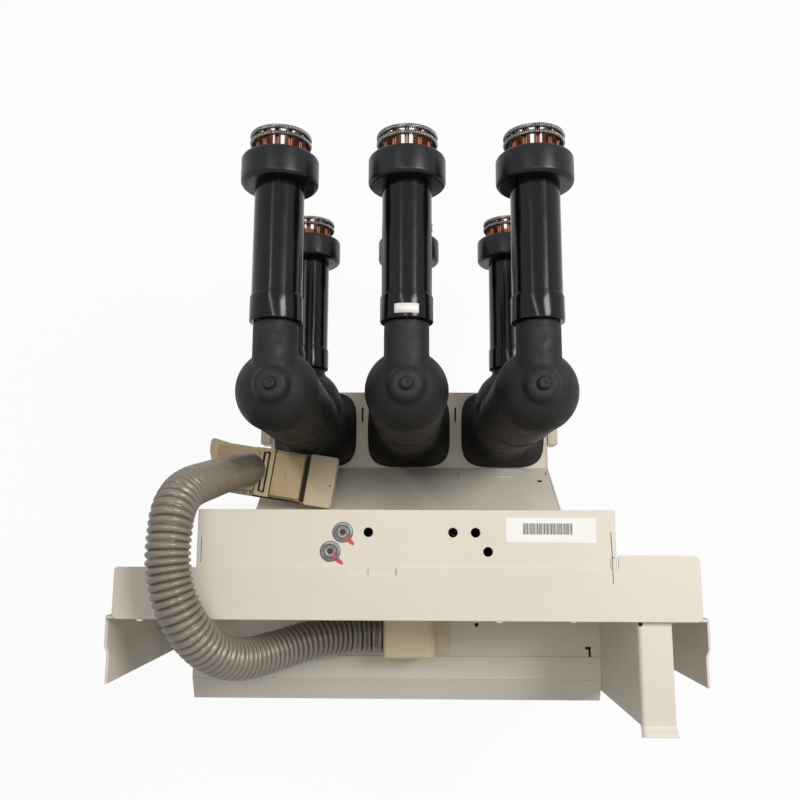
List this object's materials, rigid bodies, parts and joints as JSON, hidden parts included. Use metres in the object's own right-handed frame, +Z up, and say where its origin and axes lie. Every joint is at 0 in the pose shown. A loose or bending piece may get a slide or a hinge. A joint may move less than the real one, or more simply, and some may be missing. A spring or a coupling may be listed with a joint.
{
  "type": "vacuum circuit breaker, withdrawable, medium voltage",
  "caption": "Withdrawable vacuum circuit breaker: three black moulded poles with sprung tulip contacts on a sheet-metal mechanism housing, with a ribbed control conduit and plug.",
  "frame": {"origin": "centre of the footprint at the underside of the base rails, on the middle pole's plane; the conduit and its plug aren't counted", "axes": "+X across the breaker to its right as seen from the front plate, +Y to the back, the way the contact arms point, +Z up"},
  "size_m": [0.637, 0.674, 0.598],
  "materials": {
    "pole_moulding": "matt black-brown moulded epoxy, fine grain",
    "sleeve": "glossy black shrink sleeve",
    "collar": "satin blue-black moulded collar",
    "copper": "bare copper fingers, slightly tarnished",
    "arm_metal": "turned metal rod",
    "spring_steel": "bright coiled spring wire",
    "coated_sheet": "warm light grey powder coat with a fine orange peel",
    "chassis_steel": "plain grey coated steel",
    "guide_plastic": "beige guide block",
    "bushing_steel": "dull grey steel",
    "plug_plastic": "beige moulded plastic",
    "conduit_plastic": "grey-brown ribbed conduit, satin"
  },
  "bodies": {
    "root": {"pole_left": "pole_moulding", "pole_centre": "pole_moulding", "pole_right": "pole_moulding", "sleeve_upper_left": "sleeve", "sleeve_upper_centre": "sleeve", "sleeve_upper_right": "sleeve", "sleeve_lower_left": "sleeve", "sleeve_lower_centre": "sleeve", "sleeve_lower_right": "sleeve", "collar_upper_left": "collar", "collar_upper_centre": "collar", "collar_upper_right": "collar", "collar_lower_left": "collar", "collar_lower_centre": "collar", "collar_lower_right": "collar", "tulip_upper_left": "copper", "tulip_upper_centre": "copper", "tulip_upper_right": "copper", "tulip_lower_left": "copper", "tulip_lower_centre": "copper", "tulip_lower_right": "copper", "rods_upper": "arm_metal", "rods_lower": "arm_metal", "springs_upper": "spring_steel", "springs_lower": "spring_steel", "pole_ledge": "coated_sheet", "slope_panel": "coated_sheet", "rear_apron": "coated_sheet", "guide_blocks": "guide_plastic", "base_rails": "chassis_steel", "base_cross_members": "chassis_steel", "housing_sides": "coated_sheet", "housing_rear": "coated_sheet", "housing_top": "coated_sheet", "top_bushings": "bushing_steel", "front_plate": "coated_sheet", "top_flange": "coated_sheet", "side_flange_left": "coated_sheet", "side_flange_right": "coated_sheet", "bracket_top": "coated_sheet", "bracket_skirt": "coated_sheet", "console_shelf": "coated_sheet", "console_front_rail": "coated_sheet", "console_lip": "coated_sheet", "console_face": "coated_sheet", "console_sides": "coated_sheet", "floor_pans": "chassis_steel", "fitting_base": "plug_plastic", "fitting_hood": "plug_plastic", "conduit": "conduit_plastic", "plug_frame": "plug_plastic", "plug_hood": "plug_plastic"}
  },
  "joints": []
}
